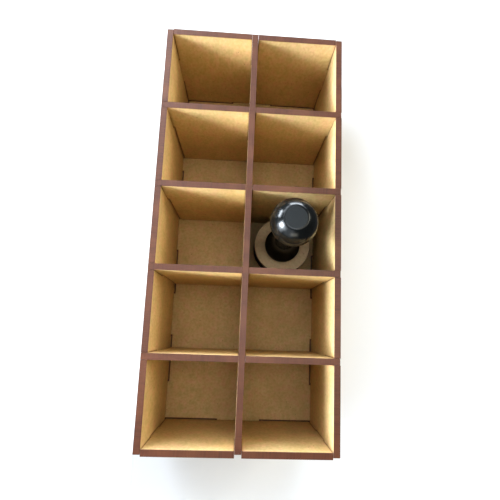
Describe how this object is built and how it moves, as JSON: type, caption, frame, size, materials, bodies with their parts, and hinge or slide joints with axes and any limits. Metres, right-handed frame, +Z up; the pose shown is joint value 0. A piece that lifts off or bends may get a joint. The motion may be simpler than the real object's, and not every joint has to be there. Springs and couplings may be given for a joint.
{
  "type": "applicator organizer box",
  "caption": "Open-topped laser-cut board box with a lift-out divider grid for round pad applicators, and one applicator with a ball handle standing in it.",
  "frame": {"origin": "under the middle of the floor, on the surface that the box stands on", "axes": "+Z up, +Y along the length to the back, +X across the width to the right as seen from the front"},
  "size_m": [0.091, 0.207, 0.0897],
  "materials": {
    "fibreboard": "bare medium-density fibreboard with laser-cut edges",
    "handle_lacquer": "gloss black with a satin flat on top",
    "disc_board": "bare fibreboard disc",
    "screw_steel": "zinc plated",
    "hook_tape": "black hook-and-loop tape",
    "foam": "fine open-cell foam, dark with ink"
  },
  "bodies": {
    "box": {"floor_panel": "fibreboard", "left_side_panel": "fibreboard", "right_side_panel": "fibreboard", "front_panel": "fibreboard", "back_panel": "fibreboard"},
    "cross_dividers": {"cross_divider_1": "fibreboard", "cross_divider_2": "fibreboard", "cross_divider_3": "fibreboard", "cross_divider_4": "fibreboard"},
    "centre_divider": {"centre_divider": "fibreboard"},
    "applicator": {"applicator_handle": "handle_lacquer", "applicator_disc": "disc_board", "handle_screw": "screw_steel", "hook_pad": "hook_tape", "foam_pad": "foam"}
  },
  "joints": [
    {"name": "cross_dividers_lift", "type": "slide", "parent": "box", "child": "cross_dividers", "axis": [0, 0, 1], "range_m": [0, 0.075]},
    {"name": "centre_divider_lift", "type": "slide", "parent": "cross_dividers", "child": "centre_divider", "axis": [0, 0, 1], "range_m": [0, 0.075]},
    {"name": "applicator_lift", "type": "slide", "parent": "box", "child": "applicator", "axis": [0, 0, 1], "range_m": [0, 0.08]}
  ]
}
